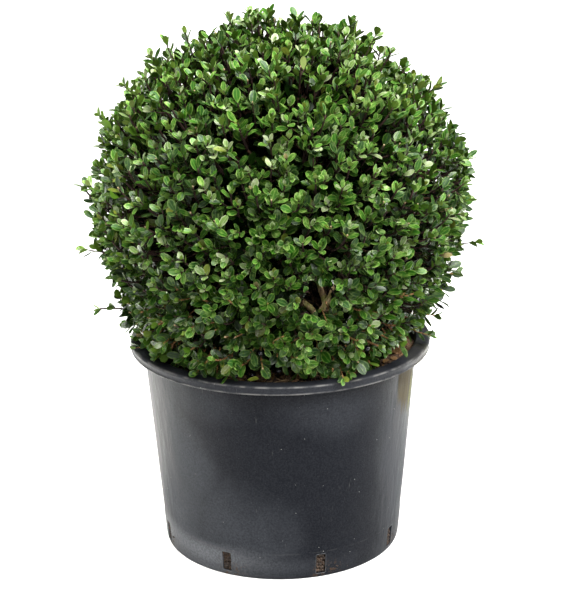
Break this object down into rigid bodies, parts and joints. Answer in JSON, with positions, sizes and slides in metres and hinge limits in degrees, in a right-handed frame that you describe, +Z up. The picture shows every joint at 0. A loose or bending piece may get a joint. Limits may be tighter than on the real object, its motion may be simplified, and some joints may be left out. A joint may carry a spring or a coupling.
{
  "type": "potted japanese holly",
  "caption": "Evergreen japanese holly clipped to a dense ball, growing in a round black plastic nursery pot with drain slots.",
  "frame": {"origin": "centre of the pot's flat underside", "axes": "+Z up the plant, -Y towards the front, where the fork of the boughs shows, +X to the right"},
  "size_m": [0.5293, 0.522, 0.7263],
  "materials": {
    "pot_plastic": "satin, scuffed",
    "potting_soil": "rough",
    "bark": "rough",
    "leaves": "waxy"
  },
  "bodies": {
    "root": {"pot": "pot_plastic", "potting_soil": "potting_soil", "trunk": "bark", "leader": "bark", "bough_front_right": "bark", "bough_right": "bark", "bough_back_right": "bark", "bough_back_left": "bark", "bough_left": "bark", "bough_front_left": "bark", "side_limb_up": "bark", "side_limb_left": "bark", "crown": "leaves"}
  },
  "joints": []
}
